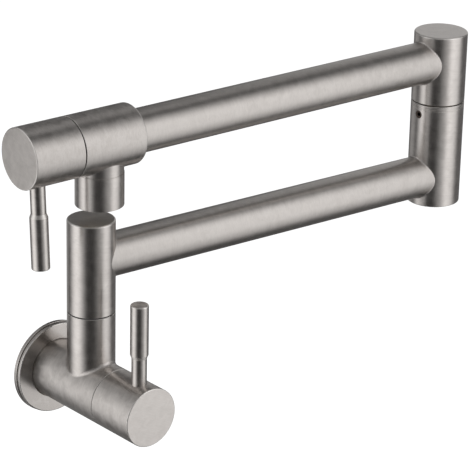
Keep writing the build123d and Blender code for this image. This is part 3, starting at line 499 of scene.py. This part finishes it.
class POTFILLER_OT_inlet_thread(bpy.types.Operator):
    """Adds the half inch pipe thread inside the inlet at the wall"""
    bl_idname = "potfiller.inlet_thread"
    bl_label = "Inlet thread"

    def execute(self, context):
        sizes = context.scene.potfiller_sizes
        # the four sided ridge: its foot lies in the bore's wall, its flat crest towards the axis
        half_foot = sizes.thread_pitch * THREAD_HALF_FOOT
        half_crest = half_foot * THREAD_CREST_SHARE
        ridge = ((sizes.thread_root, -half_foot), (sizes.thread_crest, -half_crest),
                 (sizes.thread_crest, half_crest), (sizes.thread_root, half_foot))
        bpy.ops.mesh.primitive_circle_add(vertices=len(ridge), radius=half_foot)
        piece = bpy.context.object
        piece.name = "inlet_thread"
        for vertex, (radius, height) in zip(piece.data.vertices, ridge):
            vertex.co = (radius, 0, height)
        self.wind(piece, sizes)
        self.fade_ends(piece, sizes)
        self.close_and_turn(len(ridge))
        nearest = max(vertex.co.y for vertex in piece.data.vertices)
        piece.data.transform(Matrix.Translation((0, -sizes.thread_start - nearest, 0)))
        bpy.ops.object.shade_smooth_by_angle(angle=THREAD_SMOOTHING)
        piece.data.materials.append(bpy.data.materials["brushed_stainless_body"])
        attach(piece, "wall_body")
        return {"FINISHED"}

    def wind(self, piece, sizes):
        """Winds the ridge into a helix round Z."""
        helix = piece.modifiers.new("helix", "SCREW")
        helix.axis = "Z"
        helix.screw_offset = sizes.thread_pitch
        helix.iterations = sizes.thread_turns
        helix.steps = helix.render_steps = THREAD_STEPS
        helix.use_smooth_shade = False
        bpy.ops.object.modifier_apply(modifier=helix.name)

    def fade_ends(self, piece, sizes):
        """Sinks the crest into the bore at the first and the last of the thread."""
        root = sizes.thread_root
        fade = sizes.thread_pitch * THREAD_FADE
        total = sizes.thread_pitch * sizes.thread_turns
        for vertex in piece.data.vertices:
            radius = math.hypot(vertex.co.x, vertex.co.y)
            turn = math.atan2(vertex.co.y, vertex.co.x) / (2 * math.pi) % 1
            rows = round(vertex.co.z / sizes.thread_pitch - turn)
            climbed = (rows + turn) * sizes.thread_pitch
            share = min(1, climbed / fade, (total - climbed) / fade)
            wanted = root - (root - radius) * max(THREAD_LEAST, share)
            vertex.co.x *= wanted / radius
            vertex.co.y *= wanted / radius

    def close_and_turn(self, corners):
        """Closes the helix's two open ends, and turns its axis from Z to Y."""
        bpy.ops.object.mode_set(mode="EDIT")
        bpy.ops.mesh.select_all(action="DESELECT")
        bpy.ops.mesh.select_non_manifold(extend=False, use_wire=False, use_multi_face=False,
                                         use_non_contiguous=False, use_verts=False)
        bpy.ops.mesh.fill_holes(sides=corners)
        bpy.ops.mesh.select_all(action="SELECT")
        bpy.ops.mesh.normals_make_consistent(inside=False)
        bpy.ops.transform.rotate(value=math.radians(90), orient_axis="X", center_override=(0, 0, 0))
        bpy.ops.object.mode_set(mode="OBJECT")


# ------------------------------------------------------------------ studio
MIDDLE = Vector((0.1, -0.04, 0.07))  # near the object's middle: the lamps face it, and the tent is round it
WHITE = (1, 1, 1, 1)

LAMP_SIDE = 1.6
LAMP_DISTANCE = 2.0
LAMP_ELEVATION = 30  # degrees
LAMP_AZIMUTHS = {"right_softbox": 27, "left_softbox": -112}  # degrees

FLOOR_SIDE = 40
FLOOR_GREY = (0.8, 0.8, 0.8, 1)
FLOOR_GLOW = 0.4  # what the camera and reflections see on top of the light that falls on the floor

TENT_SEGMENTS = 64  # round the tent, and half as many from top to bottom

# The tent's soft panels: azimuth, elevation, half width and half height in degrees, where the fade starts and
# ends as shares of those, and brightness
TENT_PANELS = (
    (34.5, 8, 24.5, 56, 0.45, 1.5, 1.14),  # tall, at the front right
    (3, 0, 26, 50, 0.2, 1.5, 0.48),  # beside it, in front
    (24, -46, 20, 16, 0.3, 1.5, 0.2),  # small, below those two
    (-106.5, -8, 29, 46, 0.2, 1.5, 1.42),  # bright, at the left
    (-150, 38, 34, 24, 0.3, 1.6, 0.33),  # high, at the left and behind
    (118, 20, 21, 24, 0.6, 1.35, 0.4),  # at the right and behind
    (110, -5, 60, 80, 0.4, 1.5, 0.12),  # faint, all over the right
    (-35, 50, 55, 24, 0.3, 1.5, 0.45),  # wide, high in front
    (180, -20, 22, 40, 0.4, 1.4, 0.35),  # low, behind
    (160, 72, 26, 16, 0.3, 1.5, 0.32),  # nearly overhead
)

PHOTO_SIDE = 470  # pixels along each side of the photograph
HALF_PIXEL = 0.5 / PHOTO_SIDE  # as a share of that side, which is how the camera is shifted
SENSOR_MM = 36.0
CAMERA_NEAR, CAMERA_FAR = 0.05, 60.0  # the camera sees what is between these distances


def way_to(azimuth, elevation):
    """The unit vector to an azimuth and elevation, in radians."""
    return Vector((math.sin(azimuth) * math.cos(elevation), -math.cos(azimuth) * math.cos(elevation),
                   math.sin(elevation)))


def softbox(name, radiance):
    """A square lamp of the given radiance that faces the object, and lights its matt surfaces only."""
    data = bpy.data.lights.new(name, "AREA")
    data.shape = "SQUARE"
    data.size = LAMP_SIDE
    data.energy = radiance * LAMP_SIDE ** 2 * math.pi
    lamp = bpy.data.objects.new(name, data)
    bpy.context.scene.collection.objects.link(lamp)
    away = LAMP_DISTANCE * way_to(math.radians(LAMP_AZIMUTHS[name]), math.radians(LAMP_ELEVATION))
    turn = (-away).to_track_quat("-Z", "Y").to_matrix().to_4x4()
    lamp.matrix_world = Matrix.Translation(MIDDLE + away) @ turn
    lamp.visible_camera = False
    lamp.visible_glossy = False


def looked_at(tree):
    """One where the camera, metal or glass looks at the background, and zero for the light it gives."""
    path = add_node(tree, "ShaderNodeLightPath")
    seen = 0.0
    for ray in ("Is Camera Ray", "Is Glossy Ray", "Is Transmission Ray"):
        seen = add_node(tree, "ShaderNodeMath", {0: seen, 1: path.outputs[ray]},
                        operation="MAXIMUM").outputs[0]
    return seen


class POTFILLER_OT_studio(bpy.types.Operator):
    """Adds the floor, the white surround, the lamps, the dark tent and the camera"""
    bl_idname = "potfiller.studio"
    bl_label = "Studio"

    def execute(self, context):
        studio = context.scene.potfiller_studio
        self.add_world(context, studio)
        self.add_floor(studio)
        self.add_tent(studio)
        softbox("right_softbox", studio.key)
        softbox("left_softbox", studio.fill)
        self.add_camera(context, studio)
        context.scene.view_settings.view_transform = "Standard"
        return {"FINISHED"}

    def add_world(self, context, studio):
        """A white surround, which is dimmer for the light that it gives."""
        world = bpy.data.worlds.new("white_surround")
        context.scene.world = world
        world.use_nodes = True
        tree = world.node_tree
        tree.nodes.clear()
        output = tree.nodes.new("ShaderNodeOutputWorld")
        strength = add_node(tree, "ShaderNodeMapRange",
                            {"Value": looked_at(tree), "To Min": studio.surround, "To Max": 1.0})
        white = add_node(tree, "ShaderNodeBackground", {"Color": WHITE, "Strength": strength.outputs[0]})
        tree.links.new(white.outputs[0], output.inputs[0])

    def add_floor(self, studio):
        """A pale floor, lightened where it is looked at so that it joins the surround."""
        bpy.ops.mesh.primitive_plane_add(size=FLOOR_SIDE, location=(0, 0, studio.floor_height))
        floor = bpy.context.object
        floor.name = "studio_floor"
        material, tree, output = new_material("pale_floor")
        glow = add_node(tree, "ShaderNodeMath", {0: looked_at(tree), 1: FLOOR_GLOW}, operation="MULTIPLY")
        white = add_node(tree, "ShaderNodeEmission", {"Color": WHITE, "Strength": glow.outputs[0]})
        matt = add_node(tree, "ShaderNodeBsdfDiffuse", {"Color": FLOOR_GREY})
        both = add_node(tree, "ShaderNodeAddShader", {0: white.outputs[0], 1: matt.outputs[0]})
        tree.links.new(both.outputs[0], output.inputs[0])
        floor.data.materials.append(material)

    def add_tent(self, studio):
        """A dark tent with soft white panels, which only reflections see, as black and white cards do."""
        bpy.ops.mesh.primitive_uv_sphere_add(segments=TENT_SEGMENTS, ring_count=TENT_SEGMENTS // 2,
                                             radius=studio.tent_radius, location=MIDDLE)
        tent = bpy.context.object
        tent.name = "studio_tent"
        bpy.ops.object.mode_set(mode="EDIT")
        bpy.ops.mesh.select_all(action="SELECT")
        bpy.ops.mesh.flip_normals()
        bpy.ops.object.mode_set(mode="OBJECT")
        material, tree, output = new_material("tent_cloth")
        material.cycles.emission_sampling = "NONE"
        where = add_node(tree, "ShaderNodeTexCoord")
        way = add_node(tree, "ShaderNodeVectorMath", {0: where.outputs["Object"]},
                       operation="NORMALIZE").outputs[0]
        brightness = studio.tent_dark
        for *angles, fade_start, fade_end, panel_brightness in TENT_PANELS:
            azimuth, elevation, wide, high = (math.radians(angle) for angle in angles)
            local = add_node(tree, "ShaderNodeMapping",
                             {"Vector": way, "Location": way_to(azimuth, elevation),
                              "Rotation": (-elevation, 0, azimuth),
                              "Scale": (math.sin(wide), 1.0, math.sin(high))}, vector_type="TEXTURE")
            reach = add_node(tree, "ShaderNodeVectorMath", {0: local.outputs[0]}, operation="LENGTH")
            glow = add_node(tree, "ShaderNodeMapRange",
                            {"Value": reach.outputs["Value"], "From Min": fade_start, "From Max": fade_end,
                             "To Min": panel_brightness, "To Max": 0.0}, interpolation_type="SMOOTHSTEP")
            brightness = add_node(tree, "ShaderNodeMath", {0: brightness, 1: glow.outputs[0]},
                                  operation="ADD").outputs[0]
        cloth = add_node(tree, "ShaderNodeEmission", {"Strength": brightness})
        tree.links.new(cloth.outputs[0], output.inputs[0])
        tent.data.materials.append(material)
        tent.visible_camera = False
        tent.visible_diffuse = False
        tent.visible_transmission = False
        tent.visible_shadow = False

    def add_camera(self, context, studio):
        """The camera that was fitted to the photograph."""
        data = bpy.data.cameras.new("photo_camera")
        data.sensor_width = SENSOR_MM
        data.lens = studio.lens
        data.shift_x, data.shift_y = -HALF_PIXEL, HALF_PIXEL
        data.clip_start, data.clip_end = CAMERA_NEAR, CAMERA_FAR
        camera = bpy.data.objects.new("photo_camera", data)
        context.scene.collection.objects.link(camera)
        back = way_to(studio.azimuth, studio.elevation)
        right = (-back).cross(UP).normalized()
        turn = Matrix((right, back.cross(right), back)).transposed().to_4x4()
        roll = Matrix.Rotation(studio.roll, 4, "Z")
        camera.matrix_world = Matrix.Translation(studio.camera_at) @ turn @ roll
        context.scene.camera = camera


# ------------------------------------------------------------------ properties and panel
class PotFillerSteel(bpy.types.PropertyGroup):
    """Colours and roughness of the brushed steel"""
    light: StringProperty(name="Steel, light", description="sRGB hex colour of the scratches' crests",
                          default="#D3CECA")
    dark: StringProperty(name="Steel, dark", description="sRGB hex colour between the scratches",
                         default="#BCB7B3")
    # the lighter colour of the blended edges is a painted highlight
    edge: StringProperty(name="Steel, edges", description="sRGB hex colour of the blended edges",
                         default="#E4E0DC")
    roughness: FloatProperty(name="Roughness", description="Mean roughness of the brushed steel",
                             default=0.34, min=0.0, max=1.0)


class PotFillerSizes(bpy.types.PropertyGroup):
    """Sizes of the welds and of the inlet's thread"""
    stub_weld: FloatProperty(name="Stub weld", description="Hollow of the weld between stub and body",
                             default=2.4 * MM, unit="LENGTH")
    post_weld: FloatProperty(name="Post weld", description="Hollow of the weld between first arm and post",
                             default=0.8 * MM, unit="LENGTH")
    arm_weld: FloatProperty(name="Arm weld", description="Hollow of the welds at the elbow and the shoulder",
                            default=1.0 * MM, unit="LENGTH")
    spout_weld: FloatProperty(name="Spout weld", description="Hollow of the weld above the spout",
                              default=0.6 * MM, unit="LENGTH")
    spout_neck: FloatProperty(name="Spout neck", description="Radius of the spout's turned end",
                              default=13.4 * MM, unit="LENGTH")
    shoulder_at: FloatProperty(name="Shoulder", description="Spout axis to the spout valve's shoulder",
                               default=20.6 * MM, unit="LENGTH")
    thread_pitch: FloatProperty(name="Thread pitch", description="Pitch of a half inch pipe thread",
                                default=1.814 * MM, unit="LENGTH")
    thread_turns: IntProperty(name="Thread turns", description="Turns of thread in the inlet", default=7)
    thread_crest: FloatProperty(name="Thread crest", description="Inside radius of the thread",
                                default=9.32 * MM, unit="LENGTH")
    thread_root: FloatProperty(name="Thread root", description="Outside radius of the thread",
                               default=10.55 * MM, unit="LENGTH")
    thread_start: FloatProperty(name="Thread start", description="Wall to the first of the thread",
                                default=1.2 * MM, unit="LENGTH")


class PotFillerStudio(bpy.types.PropertyGroup):
    """Surround, floor, tent, lamps and camera"""
    surround: FloatProperty(name="Surround", description="Strength of the surround on matt surfaces",
                            default=0.8)
    floor_height: FloatProperty(name="Floor height", description="Height of the floor", default=-0.9,
                                unit="LENGTH")
    tent_radius: FloatProperty(name="Tent", description="Radius of the tent", default=0.7, unit="LENGTH")
    tent_dark: FloatProperty(name="Tent cloth", description="Brightness of the tent between its panels",
                             default=0.04)
    key: FloatProperty(name="Right lamp", description="Brightness of the softbox on the right", default=1.7)
    fill: FloatProperty(name="Left lamp", description="Brightness of the softbox on the left", default=1.7)
    lens: FloatProperty(name="Lens", description="Focal length on a 36 mm sensor", default=193.98,
                        unit="CAMERA")
    azimuth: FloatProperty(name="Azimuth", description="Where the camera stands round the object",
                           default=math.radians(-41.544), unit="ROTATION")
    elevation: FloatProperty(name="Elevation", description="How far the camera looks down",
                             default=math.radians(21.914), unit="ROTATION")
    roll: FloatProperty(name="Roll", description="Tilt of the camera", default=math.radians(1.279),
                        unit="ROTATION")
    camera_at: FloatVectorProperty(name="Camera at", description="Place of the camera",
                                   subtype="TRANSLATION", default=(-0.80009, -1.05965, 0.61489))


class POTFILLER_PT_panel(bpy.types.Panel):
    """Lists the pieces of the pot filler and what can be changed"""
    bl_idname = "POTFILLER_PT_panel"
    bl_label = "Pot filler"
    bl_space_type = "VIEW_3D"
    bl_region_type = "UI"
    bl_category = "Pot filler"

    def draw(self, context):
        for key in GROUPS:
            group = getattr(context.scene, key)
            box = self.layout.box()
            for name in group.__annotations__:
                box.prop(group, name)
        for operator in OPERATORS:
            self.layout.operator(operator.bl_idname)


GROUPS = {"potfiller_steel": PotFillerSteel, "potfiller_sizes": PotFillerSizes,
          "potfiller_studio": PotFillerStudio}
OPERATORS = (POTFILLER_OT_steel, POTFILLER_OT_inner_finishes, POTFILLER_OT_welds, POTFILLER_OT_inlet_thread,
             POTFILLER_OT_studio)


def register():
    for name, group in GROUPS.items():
        bpy.utils.register_class(group)
        setattr(bpy.types.Scene, name, PointerProperty(type=group))
    for made in (*OPERATORS, POTFILLER_PT_panel):
        bpy.utils.register_class(made)


def unregister():
    for made in reversed((*OPERATORS, POTFILLER_PT_panel)):
        bpy.utils.unregister_class(made)
    for name, group in GROUPS.items():
        delattr(bpy.types.Scene, name)
        bpy.utils.unregister_class(group)


def main():
    """Makes each group of pieces in order."""
    register()
    bpy.ops.potfiller.steel()
    bpy.ops.potfiller.inner_finishes()
    bpy.ops.potfiller.welds()
    bpy.ops.potfiller.inlet_thread()
    bpy.ops.potfiller.studio()


if __name__ == "__main__":
    main()
